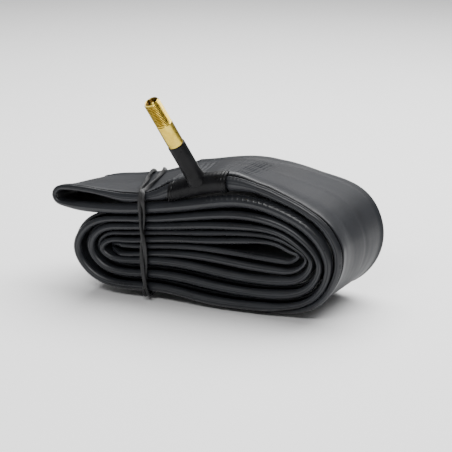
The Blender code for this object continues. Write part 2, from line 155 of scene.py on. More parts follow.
def bend_points(start, end, reach, sag):
    mid_z = 0.5 * (start[1] + end[1])
    half = 0.5 * (start[1] - end[1])
    base = 0.5 * (start[0] + end[0])
    points = []
    for a in (math.radians(degrees) for degrees in (-45.0, 0.0, 45.0)):
        x, z = base + (reach - base) * math.cos(a), mid_z - half * math.sin(a)
        inward = 0.7 * sag if z > mid_z + 1.0 else 0.0
        points.append((x - inward, z - inward))
    return points


def path_controls():
    """Points of the closed path, each with the two runs it lies between and how far along it is."""
    controls = []
    for i, run in enumerate(PATH_ORDER):
        after = PATH_ORDER[(i + 1) % len(PATH_ORDER)]
        rightwards = i % 2 == 0
        here = run_points(run, rightwards)
        there = run_points(after, not rightwards)
        pair = (min(run, after), max(run, after))
        reach = BEND_X.get(pair, TAIL_END_X)
        controls += [(x, z, run, run, 0.0) for x, z in here]
        bend = bend_points(here[-1], there[0], reach, SHOULDER_IN.get(pair, 0.0))
        controls += [(x, z, run, after, 0.25 * (n + 1)) for n, (x, z) in enumerate(bend)]
    return controls


def periodic_spline(knots, values, at):
    """Cubic spline through values at knots (the last knot closes the loop), read at points at."""
    step = np.diff(knots)
    n = len(step)
    slope = (np.roll(values, -1, 0) - values) / step[:, None]
    system = np.zeros((n, n))
    for i in range(n):
        system[i, i - 1] += step[i - 1]
        system[i, i] += 2 * (step[i - 1] + step[i])
        system[i, (i + 1) % n] += step[i]
    bend = np.linalg.solve(system, 6 * (slope - np.roll(slope, 1, 0)))
    i = np.clip(np.searchsorted(knots, at, side='right') - 1, 0, n - 1)
    j = (i + 1) % n
    t, h = (at - knots[i])[:, None], step[i][:, None]
    first = slope[i] - h * (2 * bend[i] + bend[j]) / 6
    return values[i] + t * (first + t * (bend[i] / 2 + t * (bend[j] - bend[i]) / (6 * h)))


def run_height(run, x):
    return float(np.interp(x, RUN_X, RUN_Z[run]))


def back_rise(run, x):
    stations = sorted(zip(TAIL_X + RUN_X, BACK_RISE.get(run, (0.0,) * 7)))
    return float(np.interp(x, *zip(*stations)))


def front_edge(run, x):
    """Thickness of a run's front edge, which narrows towards the bends."""
    usual = FRONT_EDGE[run]
    sides = (FRONT_LEFT.get(run, usual), usual, usual, FRONT_RIGHT.get(run, usual))
    return float(np.interp(x, (-44.0, -10.0, 19.0, 36.0), sides))


def traits(control):
    """Set-back, front edge, back edge, back rise, and how far on run 1 and on run 2, at a control."""
    x, _, run, after, along = control
    blend = 0.5 - 0.5 * math.cos(math.pi * along)
    front = (1 - blend) * front_edge(run, x) + blend * front_edge(after, x)
    tip = math.sin(math.pi * along) ** 2
    front += tip * (BEND_EDGE.get((min(run, after), max(run, after)), front) - front)
    set_back = (1 - blend) * SET_BACK.get(run, 0.0) + blend * SET_BACK.get(after, 0.0)
    set_back += tip * BEND_SET_BACK.get((min(run, after), max(run, after)), 0.0)
    back = (1 - blend) * BACK_EDGE.get(run, EDGE_USUAL) + blend * BACK_EDGE.get(after, EDGE_USUAL)
    rise = (1 - blend) * back_rise(run, x) + blend * back_rise(after, x)
    return [set_back, front, back, rise] + [(1 - blend) * (run == k) + blend * (after == k) for k in (1, 2)]


class Strip:
    """The strip's path, closely sampled: centre line, tangent and traits at even steps."""

    def __init__(self, step):
        controls = path_controls()
        points = np.array([(c[0], c[1]) for c in controls])
        chord = np.linalg.norm(np.roll(points, -1, 0) - points, axis=1)
        knots = np.concatenate(([0.0], np.cumsum(chord)))
        pieces, reached = [], 0.0
        for place, pace in SAMPLING:
            upto = place if place > 0.0 else knots[-1] + place
            count = int(math.ceil((upto - reached) / (step * pace)))
            pieces.append(reached + np.arange(count) * (upto - reached) / count)
            reached = upto
        self.along = np.concatenate(pieces)
        self.centre = periodic_spline(knots, points, self.along)
        tangent = np.roll(self.centre, -1, 0) - np.roll(self.centre, 1, 0)
        self.tangent = tangent / np.linalg.norm(tangent, axis=1)[:, None]
        marks = np.array([traits(c) for c in controls])
        marks = np.vstack((marks, marks[:1]))
        read = [np.interp(self.along, knots, marks[:, k]) for k in range(marks.shape[1])]
        self.set_back, self.front, self.back, self.rise, self.on_first, self.on_second = read
        self.from_tail = np.where(self.along > 0.5 * knots[-1], self.along - knots[-1], self.along)
        on_rim = (self.from_tail > RIM[0][0]) & (self.from_tail < RIM[-1][0])
        reach, thick, outward = np.array(RIM).T
        self.front = np.where(on_rim, np.interp(self.from_tail, reach, thick), self.front)
        self.outward = np.where(on_rim, np.interp(self.from_tail, reach, outward), 0.0)
        late = smooth(182.0, 236.0, self.from_tail)
        rim_stays = (self.from_tail > 60.0) & (self.from_tail < 236.0)
        self.set_back = np.where(rim_stays, 8.0 * late, self.set_back)

        self.front = self.eased(self.front, self.outward)
        self.back = self.eased(self.back, np.zeros(len(self.along)))

    def eased(self, edge, outward):
        """Edge thickness, brought down wherever two neighbouring layers would press into each other."""
        normal = np.stack((-self.tangent[:, 1], self.tangent[:, 0]), axis=1)
        at = self.centre + normal * outward[:, None]
        apart = np.linalg.norm(at[:, None] - at[None], axis=2) - LAYER_GAP
        round_path = np.abs(self.along[:, None] - self.along[None])
        round_path = np.minimum(round_path, self.along[-1] - round_path)
        level = np.abs(self.set_back[:, None] - self.set_back[None]) < 3.5
        counts = level & (round_path > 14.0) & (apart > 0.0)
        for _ in range(4):
            share = np.where(counts, apart / (0.5 * (edge[:, None] + edge[None])), 9.0).min(axis=1)
            share = np.minimum(share, 1.0)
            edge = np.maximum(edge * share, 0.92 * STRIP_THICK)
        wide = np.pad(edge, 3, mode='wrap')
        low = np.min([wide[k:k + len(edge)] for k in range(7)], axis=0)
        wide = np.pad(low, 3, mode='wrap')
        return np.mean([wide[k:k + len(edge)] for k in range(7)], axis=0)

    def height(self, run, x):
        """Height of run 1 or 2 at x."""
        member = self.on_first if run == 1 else self.on_second
        line = self.centre[member > 0.99]
        line = line[np.argsort(line[:, 0])]
        return float(np.interp(x, line[:, 0], line[:, 1]))


def smooth(low, high, value):
    t = np.clip((value - low) / (high - low), 0.0, 1.0)
    return t * t * (3 - 2 * t)


def window(value, low, high, soft):
    return smooth(low - soft, low + soft, value) * (1 - smooth(high - soft, high + soft, value))


def waves(value, seed, lengths):
    """Gentle repeatable wobble: a sum of sines of the given wavelengths, about -1 to 1."""
    rng = np.random.default_rng(seed)
    total = sum(np.sin(2 * math.pi * (value / length + rng.random())) for length in lengths)
    return total / len(lengths)


# ---- meshes --------------------------------------------------------------------------------------
def new_piece(name, verts, faces, mat, uvs=None, matrix=Matrix.Identity(4)):
    mesh = bpy.data.meshes.new(name)
    mesh.from_pydata([tuple(v) for v in verts], [], [tuple(f) for f in faces])
    if uvs is not None:
        layer = mesh.uv_layers.new(name="strip")
        loops = np.zeros(len(mesh.loops), int)
        mesh.loops.foreach_get("vertex_index", loops)
        layer.data.foreach_set("uv", np.asarray(uvs, np.float32)[loops].ravel())
    bm = bmesh.new()
    bm.from_mesh(mesh)
    bmesh.ops.recalc_face_normals(bm, faces=bm.faces)
    bm.to_mesh(mesh)
    bm.free()
    mesh.shade_smooth()
    mesh.materials.append(mat)
    obj = bpy.data.objects.new(name, mesh)
    obj.matrix_world = matrix
    bpy.context.scene.collection.objects.link(obj)
    return obj


def grid_faces(rows, cols, wrap_rows, wrap_cols):
    """Quads of a grid of points, numbered row by row."""
    r = np.arange(rows if wrap_rows else rows - 1)
    c = np.arange(cols if wrap_cols else cols - 1)
    r, c = (a.ravel() for a in np.meshgrid(r, c, indexing='ij'))
    r2, c2 = (r + 1) % rows, (c + 1) % cols
    return np.stack((r * cols + c, r * cols + c2, r2 * cols + c2, r2 * cols + c), axis=1)


def turned_piece(name, profile, sides, mat, matrix, closed=True, sharp=40.0):
    """Turn (radius, height) points in millimetres about Z."""
    bm = bmesh.new()
    verts = [bm.verts.new((r * MM, 0.0, h * MM)) for r, h in profile]
    edges = [bm.edges.new(pair) for pair in zip(verts, verts[1:])]
    if closed:
        edges.append(bm.edges.new((verts[-1], verts[0])))
    bmesh.ops.spin(bm, geom=verts + edges, angle=2 * math.pi, steps=sides,
                   axis=(0, 0, 1), cent=(0, 0, 0))
    bmesh.ops.remove_doubles(bm, verts=bm.verts, dist=0.000002)
    bmesh.ops.recalc_face_normals(bm, faces=bm.faces)
    mesh = bpy.data.meshes.new(name)
    bm.to_mesh(mesh)
    bm.free()
    mesh.shade_smooth()
    mesh.set_sharp_from_angle(angle=math.radians(sharp))
    mesh.materials.append(mat)
    obj = bpy.data.objects.new(name, mesh)
    obj.matrix_world = matrix
    bpy.context.scene.collection.objects.link(obj)
    return obj


# ---- materials -----------------------------------------------------------------------------------
class Nodes:
    """Short hand for building a procedural material."""

    def __init__(self, name, colour, roughness, metallic=0.0):
        self.mat = bpy.data.materials.new(name)
        self.mat.use_nodes = True
        self.tree = self.mat.node_tree
        self.shader = self.tree.nodes["Principled BSDF"]
        self.shader.inputs["Base Color"].default_value = (*colour, 1.0)
        self.shader.inputs["Roughness"].default_value = roughness
        self.shader.inputs["Metallic"].default_value = metallic

    def add(self, kind, **settings):
        node = self.tree.nodes.new(kind)
        for key, value in settings.items():
            setattr(node, key, value)
        return node

    def link(self, out, into):
        self.tree.links.new(out, into)
        return self

    def coordinates(self, source, scale):
        place = self.add("ShaderNodeMapping")
        place.inputs["Scale"].default_value = scale
        self.link(self.add("ShaderNodeTexCoord").outputs[source], place.inputs["Vector"])
        return place.outputs["Vector"]

    def noise(self, vector, scale, detail=4.0, rough=0.55):
        node = self.add("ShaderNodeTexNoise")
        node.inputs["Scale"].default_value = scale
        node.inputs["Detail"].default_value = detail
        node.inputs["Roughness"].default_value = rough
        self.link(vector, node.inputs["Vector"])
        return node.outputs["Fac"]

    def ramp(self, value, stops):
        node = self.add("ShaderNodeValToRGB")
        band = node.color_ramp
        while len(band.elements) < len(stops):
            band.elements.new(0.5)
        for element, (at, colour) in zip(band.elements, stops):
            element.position = at
            element.color = (*colour, 1.0) if len(colour) == 3 else colour
        self.link(value, node.inputs["Fac"])
        return node.outputs["Color"]

    def remap(self, value, low, high, to_low, to_high):
        node = self.add("ShaderNodeMapRange")
        for key, number in zip(("From Min", "From Max", "To Min", "To Max"), (low, high, to_low, to_high)):
            node.inputs[key].default_value = number
        self.link(value, node.inputs["Value"])
        return node.outputs["Result"]

    def maths(self, kind, a, b):
        node = self.add("ShaderNodeMath", operation=kind)
        for socket, value in zip(node.inputs, (a, b)):
            if isinstance(value, (int, float)):
                socket.default_value = value
            else:
                self.link(value, socket)
        return node.outputs[0]

    def mix(self, factor, a, b):
        node = self.add("ShaderNodeMix", data_type='RGBA')
        self.link(factor, node.inputs["Factor"])
        for socket, value in ((node.inputs[6], a), (node.inputs[7], b)):
            if isinstance(value, tuple):
                socket.default_value = (*value, 1.0)
            else:
                self.link(value, socket)
        return node.outputs[2]

    def bump(self, height, distance, strength=1.0, after=None):
        node = self.add("ShaderNodeBump")
        node.inputs["Distance"].default_value = distance
        node.inputs["Strength"].default_value = strength
        self.link(height, node.inputs["Height"])
        if after is not None:
            self.link(after, node.inputs["Normal"])
        return node.outputs["Normal"]

    def on_face(self):
        """0 on the strip's rounded front edge, 1 on its broad sides, from the distance round it."""
        split = self.add("ShaderNodeSeparateXYZ")
        self.link(self.coordinates("UV", (1.0, 1.0, 1.0)), split.inputs[0])
        from_edge = self.maths('PINGPONG', split.outputs["Y"], TUBE_WIDTH * MM)
        return self.remap(from_edge, 0.002, 0.006, 0.0, 1.0)

    def mould_shadow(self):
        """1 along the bottom of run 1's mould line, the mask of its painted shade; 0 elsewhere."""
        split = self.add("ShaderNodeSeparateXYZ")
        self.link(self.coordinates("UV", (1.0, 1.0, 1.0)), split.inputs[0])
        off = self.maths('ABSOLUTE', self.maths('SUBTRACT', split.outputs["Y"], MOULD_LINE_AT * MM), 0.0)
        near = self.remap(off, 0.00022, 0.00045, 1.0, 0.0)
        return self.maths('MULTIPLY', near, self.remap(split.outputs["X"], 0.172, 0.190, 1.0, 0.0))

    def finish(self, colour=None, roughness=None, normal=None):
        for key, out in (("Base Color", colour), ("Roughness", roughness), ("Normal", normal)):
            if out is not None:
                self.link(out, self.shader.inputs[key])
        return self.mat


def butyl_rubber():
    """Satin black butyl: cloudy bloom, lengthwise streaks, specks and fine grain, with painted shade along
    run 1's mould line.
    """
    n = Nodes("butyl_rubber_look", (0.022, 0.023, 0.026), 0.42)
    n.shader.inputs["Sheen Weight"].default_value = 0.02
    n.shader.inputs["Sheen Roughness"].default_value = 0.5
    strip = n.coordinates("UV", (1.0, 1.0, 1.0))
    solid = n.coordinates("Object", (1.0, 1.0, 1.0))
    streak_place = n.coordinates("UV", (0.06, 1.0, 1.0))
    cloud = n.noise(solid, 38.0, 5.0)
    streak = n.noise(streak_place, 330.0, 3.0)
    grain = n.noise(solid, 1900.0, 2.0)
    speck = n.ramp(n.noise(strip, 520.0, 2.0, 0.7), [(0.70, (0, 0, 0)), (0.78, (1, 1, 1))])
    bloom = n.ramp(cloud, [(0.3, (0.007, 0.0075, 0.0095)), (0.7, (0.015, 0.0165, 0.020))])
    streaked = n.mix(n.remap(streak, 0.35, 0.75, 0.0, 0.5), bloom, (0.019, 0.0205, 0.0245))
    specked = n.mix(n.maths('MULTIPLY', speck, 0.35), streaked, (0.07, 0.07, 0.07))
    face = n.on_face()
    satin = n.maths('ADD', n.remap(cloud, 0.3, 0.7, 0.26, 0.38), n.remap(streak, 0.3, 0.7, -0.04, 0.05))
    rough = n.maths('ADD', satin, n.maths('MULTIPLY', face, 0.2))
    hollow = n.add("ShaderNodeAmbientOcclusion", samples=6)
    hollow.inputs["Distance"].default_value = 0.0016
    open_air = n.remap(hollow.outputs["AO"], 0.25, 0.9, 0.1, 1.0)
    gloss = n.maths('MULTIPLY', n.remap(face, 0.0, 1.0, 0.38, 0.16), open_air)
    # painted shade along run 1's mould line: its gloss is taken away here
    plain = n.maths('SUBTRACT', 1.0, n.mould_shadow())
    n.link(n.maths('MULTIPLY', gloss, plain), n.shader.inputs["Specular IOR Level"])
    first = n.bump(grain, 0.00004, 0.5)
    # painted shade: the bottom of run 1's mould line is coloured near black
    with_painted_groove_shade = n.mix(n.mould_shadow(), specked, (0.0005, 0.0005, 0.0006))
    return n.finish(with_painted_groove_shade, rough, n.bump(streak, 0.00003, 0.15, first))


def sleeve_rubber():
    """Denser, blacker moulded rubber with a faint turned grain."""
    n = Nodes("sleeve_rubber_look", (0.006, 0.006, 0.007), 0.33)
    n.shader.inputs["Specular IOR Level"].default_value = 0.13
    solid = n.coordinates("Object", (1.0, 1.0, 1.0))
    cloud = n.noise(solid, 160.0, 4.0)
    colour = n.ramp(cloud, [(0.3, (0.003, 0.003, 0.0035)), (0.7, (0.008, 0.008, 0.009))])
    grain = n.noise(solid, 2400.0, 2.0)
    rough = n.remap(cloud, 0.3, 0.7, 0.24, 0.36)
    return n.finish(colour, rough, n.bump(grain, 0.00003, 0.5))


def band_rubber():
    """Matt elastic with long fine ribs."""
    n = Nodes("band_rubber_look", (0.012, 0.012, 0.013), 0.45)
    n.shader.inputs["Specular IOR Level"].default_value = 0.35
    ribs = n.noise(n.coordinates("UV", (0.1, 1.0, 1.0)), 900.0, 2.0)
    cloud = n.noise(n.coordinates("Object", (1, 1, 1)), 220.0, 4.0)
    colour = n.ramp(cloud, [(0.3, (0.006, 0.006, 0.0065)), (0.75, (0.018, 0.018, 0.019))])
    rough = n.remap(cloud, 0.3, 0.7, 0.4, 0.58)
    return n.finish(colour, rough, n.bump(ribs, 0.0001, 0.7))


def turned_brass(name, dull, painted_shade_within):
    """Bright brass with turning lines round the valve and tarnish clouds, with painted shade in the thread
    grooves and painted shade inside the given radius, down the bore.
    """
    n = Nodes(name, (0.8, 0.6, 0.25), 0.22 + dull, 1.0)
    solid = n.coordinates("Object", (1.0, 1.0, 1.0))
    turning = n.noise(n.coordinates("Object", (0.02, 0.02, 1.0)), 6000.0, 2.0)
    cloud = n.noise(solid, 240.0, 5.0, 0.6)
    colour = n.ramp(cloud, [(0.28, (0.50, 0.33, 0.035)), (0.5, (0.68, 0.49, 0.07)),
                            (0.75, (0.82, 0.63, 0.13))])
    # painted shade: ambient occlusion darkens the colour in the thread grooves
    grooves = n.add("ShaderNodeAmbientOcclusion", samples=8)
    grooves.inputs["Distance"].default_value = 0.0007
    shade = n.remap(grooves.outputs["AO"], 0.35, 0.95, 0.0, 1.0)
    colour = n.mix(shade, (0.16, 0.09, 0.02), colour)
    # painted shade: everything within the given radius of the axis, down the bore, is coloured dark brown
    split = n.add("ShaderNodeSeparateXYZ")
    n.link(n.coordinates("Object", (1.0, 1.0, 0.0)), split.inputs[0])
    radius = n.maths('SQRT', n.maths('ADD', n.maths('POWER', split.outputs["X"], 2.0),
                                     n.maths('POWER', split.outputs["Y"], 2.0)), 0.0)
    outside = n.remap(radius, painted_shade_within * MM, painted_shade_within * MM + 0.0002, 0.0, 1.0)
    colour = n.mix(outside, (0.07, 0.035, 0.01), colour)
    clouded = n.remap(cloud, 0.3, 0.7, 0.16 + dull, 0.3 + dull)
    rough = n.maths('ADD', clouded, n.remap(turning, 0.3, 0.7, -0.03, 0.05))
    return n.finish(colour, rough, n.bump(turning, 0.00002, 0.4))


def drawn_steel():
    n = Nodes("spring_steel_look", (0.55, 0.55, 0.54), 0.3, 1.0)
    cloud = n.noise(n.coordinates("Object", (1, 1, 1)), 900.0, 3.0)
    colour = n.ramp(cloud, [(0.3, (0.42, 0.42, 0.42)), (0.7, (0.66, 0.66, 0.64))])
    return n.finish(colour, n.remap(cloud, 0.3, 0.7, 0.22, 0.4))


def seal_rubber():
    n = Nodes("seal_rubber_look", (0.12, 0.02, 0.015), 0.5)
    cloud = n.noise(n.coordinates("Object", (1, 1, 1)), 700.0, 3.0)
    colour = n.ramp(cloud, [(0.3, (0.09, 0.014, 0.011)), (0.7, (0.16, 0.03, 0.022))])
    return n.finish(colour, n.remap(cloud, 0.3, 0.7, 0.42, 0.6))


def pale_floor():
    n = Nodes("pale_floor_look", (0.9, 0.9, 0.9), 0.7)
    cloud = n.noise(n.coordinates("Object", (1, 1, 1)), 3.0, 2.0)
    return n.finish(n.ramp(cloud, [(0.3, (0.93, 0.93, 0.93)), (0.7, (0.96, 0.96, 0.96))]))


# ---- tube ----------------------------------------------------------------------------------------
def section_depths():
    """Distances from the front edge at which the section is sampled: close at both edges."""
    nose = [0.0, 0.06, 0.18, 0.36, 0.6, 0.85]
    groove = list(np.arange(1.0, 2.6, 0.14))
    bead = [2.75, 3.1, 3.5, 4.0, 4.6, 5.2, 5.8, 6.6, 7.4]
    broad = list(np.linspace(8.5, 48.0, 28))
    tail = [TUBE_WIDTH - d for d in (3.0, 2.1, 1.4, 0.85, 0.45, 0.18, 0.0)]
    return np.array(nose + groove + bead + broad + tail)


def rounded(distance, edge):
    return np.sqrt(np.clip(1 - (1 - np.minimum(2 * distance / edge, 1.0)) ** 2, 0, 1))


def half_thickness(depth, front, back):
    """Half thickness of the strip: a round bead at each folded edge and two flat walls between."""
    near_fade = smooth(0.45 * front, 0.95 * front + 0.2, depth)
    near = 0.5 * front * rounded(depth, front) * (1 - near_fade) + 0.5 * STRIP_THICK * near_fade
    inside = TUBE_WIDTH - depth
    far_fade = smooth(0.45 * back, 1.15 * back + 0.4, inside)
    far = 0.5 * back * rounded(inside, back) * (1 - far_fade) + 0.5 * STRIP_THICK * far_fade
    return np.where(depth < HALF_WIDTH, near, far)


def face_height(depth, front):
    """Outer half of run 1: its broad face starts level with the bead and settles inward."""
    settled = smooth(3.0, 17.0, depth)
    return (0.5 * front * rounded(depth, front)) * (1 - settled) + 0.5 * STRIP_THICK * settled


def make_tube(strip, shift, mat):
    depth = section_depths()[None, :]
    x, z = strip.centre[:, 0:1], strip.centre[:, 1:2]
    tx, tz = strip.tangent[:, 0:1], strip.tangent[:, 1:2]
    s, run_from = strip.along[:, None], strip.from_tail[:, None]
    first, second = strip.on_first[:, None], strip.on_second[:, None]
    front = strip.front[:, None] + 0.08 * waves(s, 3, (37.0, 61.0))
    back = strip.back[:, None]
    inner = half_thickness(depth, front, back)
    face = window(run_from, -6.0, 178.0, 6.0)
    proud = np.where(depth < HALF_WIDTH, face_height(depth, front), inner)
    outer = inner + (proud - inner) * face
    outer = outer - mould_line(depth, run_from) + surface_marks(x, depth, s, first, run_from)
    inner = inner + edge_marks(x, depth, s, second)
    y = depth - HALF_WIDTH + strip.set_back[:, None] + 0.25 * waves(s, 11, (97.0, 55.0, 31.0))
    rise = strip.rise[:, None] * depth / TUBE_WIDTH
    away = smooth(4.0, 12.0, depth) * (1 - smooth(46.0, 51.0, depth))
    dent = first * 0.35 * waves(s + 0.6 * depth, 5, (63.0, 41.0)) * away
    swell = 1.7 * window(run_from, 132.0, 170.0, 16.0) * depth / TUBE_WIDTH
    outward = strip.outward[:, None] * (1 - depth / TUBE_WIDTH) + dent + swell
    up, down = outer + outward, inner - outward
    upper = np.stack((x - tz * up, y + 0 * x, z + rise + tx * up), axis=2)
    lower = np.stack((x + tz * down, y + 0 * x, z + rise - tx * down), axis=2)
    ring = np.concatenate((upper, lower[:, ::-1][:, 1:-1]), axis=1)
    rows, count = ring.shape[:2]
    verts = (ring.reshape(-1, 3) + np.array(shift)) * MM
    around = np.concatenate((depth[0], 2 * TUBE_WIDTH - depth[0, ::-1][1:-1]))
    uvs = np.stack(np.broadcast_arrays(strip.along[:, None], around[None, :]), axis=2).reshape(-1, 2) * MM
    return new_piece("rolled_tube", verts, grid_faces(rows, count, True, True), mat, uvs)


def mould_line(depth, run_from):
    """Groove between run 1's bead and its broad face, and a shallow crease across the middle."""
    shown = window(run_from, -4.0, 176.0, 5.0) * (1 - 0.75 * window(run_from, 58.0, 89.0, 2.0))
    line = 0.95 * np.exp(-((depth - MOULD_LINE_AT) / 0.34) ** 2)
    crease = 0.22 * np.exp(-((depth - 31.0) / 0.9) ** 2) * window(run_from, 100.0, 172.0, 6.0)
    return line * shown + crease


def surface_marks(x, depth, s, first, run_from):
    """Wrinkles and moulded ribs of the outer layer, in millimetres of height."""
    lean = x - 3.0 * (1.0 - np.exp(-depth / 9.0))
    fold = (lean / 1.9 + 0.25 * waves(s, 8, (13.0, 7.0))) % 1.0 - 0.5
    fine = -0.80 * np.exp(-(fold / 0.19) ** 2)
    fine = fine * window(lean, -5.0, 16.0, 4.0) * window(depth, 7.0, 44.0, 5.0)
    fine = fine * (0.7 + 0.5 * waves(s + 2.0 * depth, 21, (17.0, 9.0)))
    fan = 0.34 * np.cos(2 * math.pi * (x + 0.12 * depth) / 3.1 + 0.8 * waves(depth, 4, (19.0, 31.0)))
    fan = fan * window(x, -29.0, -11.0, 3.0) * window(depth, 4.0, 44.0, 3.0)
    ribs = 0.14 * np.cos(2 * math.pi * x / 1.7)
    beside_pad = window(x, -29.0, -18.5, 1.0) + 0.4 * window(x, 12.5, 19.0, 1.5)
    ribs = ribs * beside_pad * (1 - smooth(3.5, 6.5, depth))
    return first * (run_from > -10.0) * (fine + fan + ribs)


def edge_marks(x, depth, s, second):
    """Moulded ticks and scuffs along the upper side of run 2's edge, in millimetres of height."""
    tick = (x / 2.6) % 1.0 - 0.5
    ticks = 0.24 * np.exp(-(tick / 0.11) ** 2) * window(x, -1.0, 33.0, 1.5) * (1 - smooth(3.2, 4.6, depth))
    scuffs = 0.12 * waves(s + 3.0 * depth, 17, (1.1, 1.7, 2.9)) * window(x, 31.0, 54.0, 4.0)
    return second * (ticks + scuffs * (1 - smooth(3.0, 5.0, depth)))


# ---- valve ---------------------------------------------------------------------------------------
def valve_frame():
    """Matrix with its origin in the folded edge of run 1 and +Z along the valve, from the joint."""
    joint = next(j for j in frame["joints"] if j["name"] == "core_turn")
    turn = Vector(joint["axis"]).to_track_quat('Z', 'Y').to_matrix().to_4x4()
    return Matrix.Translation(joint["pos_m"]) @ turn


def make_pad(strip, shift, mat):
    """Thick vulcanised patch: the swollen edge that the valve grows out of, ribbed at both ends."""
    stations = np.linspace(-15.0, 14.4, 148)
    angles = np.linspace(0.0, 2 * math.pi, 65)[:-1]
    verts, uvs = [], []
    for d in stations:
        x = VALVE_X + d
        t = abs(d) / 15.0
        swell = 1.0 - 0.06 * t ** 2
        collar = 0.16 * math.exp(-((abs(d) - 13.6) / 0.35) ** 2)
        ribs = 0.07 * math.cos(2 * math.pi * d / 1.5) * float(smooth(0.70, 0.76, t))
        z = strip.height(1, x) + float(np.interp(d, (-15.0, 0.0, 15.0), (-0.4, -0.2, 0.1)))
        for a in angles:
            upward = max(0.0, math.sin(a))
            wrinkle = 0.025 * math.cos(2 * math.pi * d / 1.9) * upward * float(smooth(1.0, 3.0, d))
            seam = 0.14 * math.exp(-((a - 0.5 * math.pi) / 0.09) ** 2) * float(smooth(-1.0, 3.0, d))
            radius = 5.15 * swell + ribs + collar + wrinkle + seam
            verts.append((x, -HALF_WIDTH + 2.7 + 0.98 * radius * math.cos(a), z + radius * math.sin(a)))
            uvs.append((x * MM, a * 5.0 * MM))
    verts = (np.array(verts) + np.array(shift)) * MM
    faces = [tuple(f) for f in grid_faces(len(stations), len(angles), False, True)]
    faces.append(tuple(range(len(angles))))
    faces.append(tuple((len(stations) - 1) * len(angles) + i for i in range(len(angles))))
    pad = new_piece("valve_patch", verts, faces, mat, uvs)
    pad.data.set_sharp_from_angle(angle=math.radians(50.0))
    return pad


def make_sleeve(mat, place):
    """Rubber cover of the stem, with a small fillet at its foot and a soft lip at its top."""
    bore = STEM_R - 0.4
    profile = [(bore, 2.0), (4.6, 2.0), (4.6, 4.6), (4.42, 5.2), (4.24, 6.2), (SLEEVE_R, 8.0),
               (SLEEVE_R, 11.0), (SLEEVE_R, SLEEVE_TOP - 0.7), (SLEEVE_R - 0.08, SLEEVE_TOP - 0.25),
               (SLEEVE_R - 0.28, SLEEVE_TOP), (bore, SLEEVE_TOP)]
    return turned_piece("rubber_sleeve", profile, 96, mat, place)


def thread_profile(turned_by, height):
    """Radius of the rolled thread: rounded crests fading out at both ends."""
    phase = (height / THREAD_PITCH - turned_by / (2 * math.pi)) % 1.0
    crest = 0.5 + 0.5 * np.cos(2 * math.pi * phase)
    full = smooth(THREAD_FROM, THREAD_FROM + 0.9, height)
    full = full * (1 - smooth(STEM_TOP - 1.0, STEM_TOP - 0.5, height))
    plain = STEM_R * (1 - smooth(THREAD_FROM - 0.1, THREAD_FROM + 0.3, height))
    root = THREAD_ROOT_R * smooth(THREAD_FROM - 0.1, THREAD_FROM + 0.3, height)
    return plain + root + (STEM_R - THREAD_ROOT_R - 0.03) * crest ** 0.8 * full


def make_stem(mat, place):
    """Brass stem: plain below, rolled 8V1 thread above, chamfered mouth and threaded bore."""
    sides = 72
    angles = np.linspace(0.0, 2 * math.pi, sides + 1)[:-1]
    outer = [(STEM_R - 0.4, 9.0), (STEM_R - 0.4, SLEEVE_TOP - 0.4), (STEM_R - 0.05, SLEEVE_TOP - 0.4),
             (STEM_R, SLEEVE_TOP), (STEM_R, 30.0), (STEM_R, THREAD_FROM - 0.4)]
    threaded = np.arange(THREAD_FROM - 0.2, STEM_TOP - 0.5, THREAD_PITCH / 12)
    mouth = [(3.44, STEM_TOP - 0.45), (3.3, STEM_TOP - 0.12), (3.2, STEM_TOP), (3.05, STEM_TOP),
             (2.95, STEM_TOP - 0.1)]
    bored = np.arange(STEM_TOP - 0.3, 43.0, -0.705 / 8)
    inner = [(CORE_BORE_R, 42.8), (CORE_BORE_R, 37.6), (2.5, 36.6), (2.5, 20.0), (1.9, 19.0), (1.9, 9.0)]
    rings = [[(r, h)] * sides for r, h in outer]
    rings += [[(float(thread_profile(a, h)), h) for a in angles] for h in threaded]
    rings += [[(r, h)] * sides for r, h in mouth]
    rings += [[(CORE_BORE_R - 0.12 + 0.12 * math.cos(2 * math.pi * h / 0.705 - a), h) for a in angles]
              for h in bored]
    rings += [[(r, h)] * sides for r, h in inner]
    verts = [(r * math.cos(a) * MM, r * math.sin(a) * MM, h * MM)
             for ring in rings for (r, h), a in zip(ring, angles)]
    faces = grid_faces(len(rings), sides, True, True)
    stem = new_piece("threaded_stem", verts, faces, mat, matrix=place)
    stem.data.set_sharp_from_angle(angle=math.radians(50.0))
    return stem


def make_plug(mat, place):
    """Threaded swivel of the core with its two driving prongs."""
    profile = [(1.2, 43.2), (2.3, 43.2), (2.55, 43.6), (2.55, CORE_TOP - 2.0), (2.2, CORE_TOP - 1.75),
               (1.95, CORE_TOP - 1.7), (1.95, CORE_TOP - 0.12), (1.83, CORE_TOP), (1.3, CORE_TOP),
               (1.2, CORE_TOP - 0.1)]
    plug = turned_piece("core_swivel", profile, 48, mat, place)
    cutter = bmesh.new()
    bmesh.ops.create_cube(cutter, size=1.0)
    bmesh.ops.scale(cutter, vec=Vector((6.0, 1.5, 2.4)) * MM, verts=cutter.verts)
    mesh = bpy.data.meshes.new("swivel_slot")
    cutter.to_mesh(mesh)
    cutter.free()
    slot = bpy.data.objects.new("swivel_slot", mesh)
    slot.matrix_world = place @ Matrix.Translation((0, 0, CORE_TOP * MM))
    bpy.context.scene.collection.objects.link(slot)
    cut = plug.modifiers.new("slot", 'BOOLEAN')
    cut.object = slot
    bpy.context.view_layer.update()
    shape = bpy.data.meshes.new_from_object(plug.evaluated_get(bpy.context.evaluated_depsgraph_get()))
    plug.modifiers.clear()
    plug.data = shape
    bpy.data.objects.remove(slot)
    return plug


def make_pin(mat, place):
    """Core pin with its rounded head."""
    profile = [(0, 28.2), (0.9, 28.2), (0.9, 28.7), (0.45, 28.7), (0.45, 40.9), (0.5, 40.9),
               (0.5, CORE_TOP - 0.6), (0.8, CORE_TOP - 0.35), (0.86, CORE_TOP - 0.1),
               (0.86, CORE_TOP + 0.45), (0.78, CORE_TOP + 0.65), (0.55, CORE_TOP + 0.78), (0, CORE_TOP + 0.8)]
    return turned_piece("core_needle", profile, 32, mat, place, closed=False)


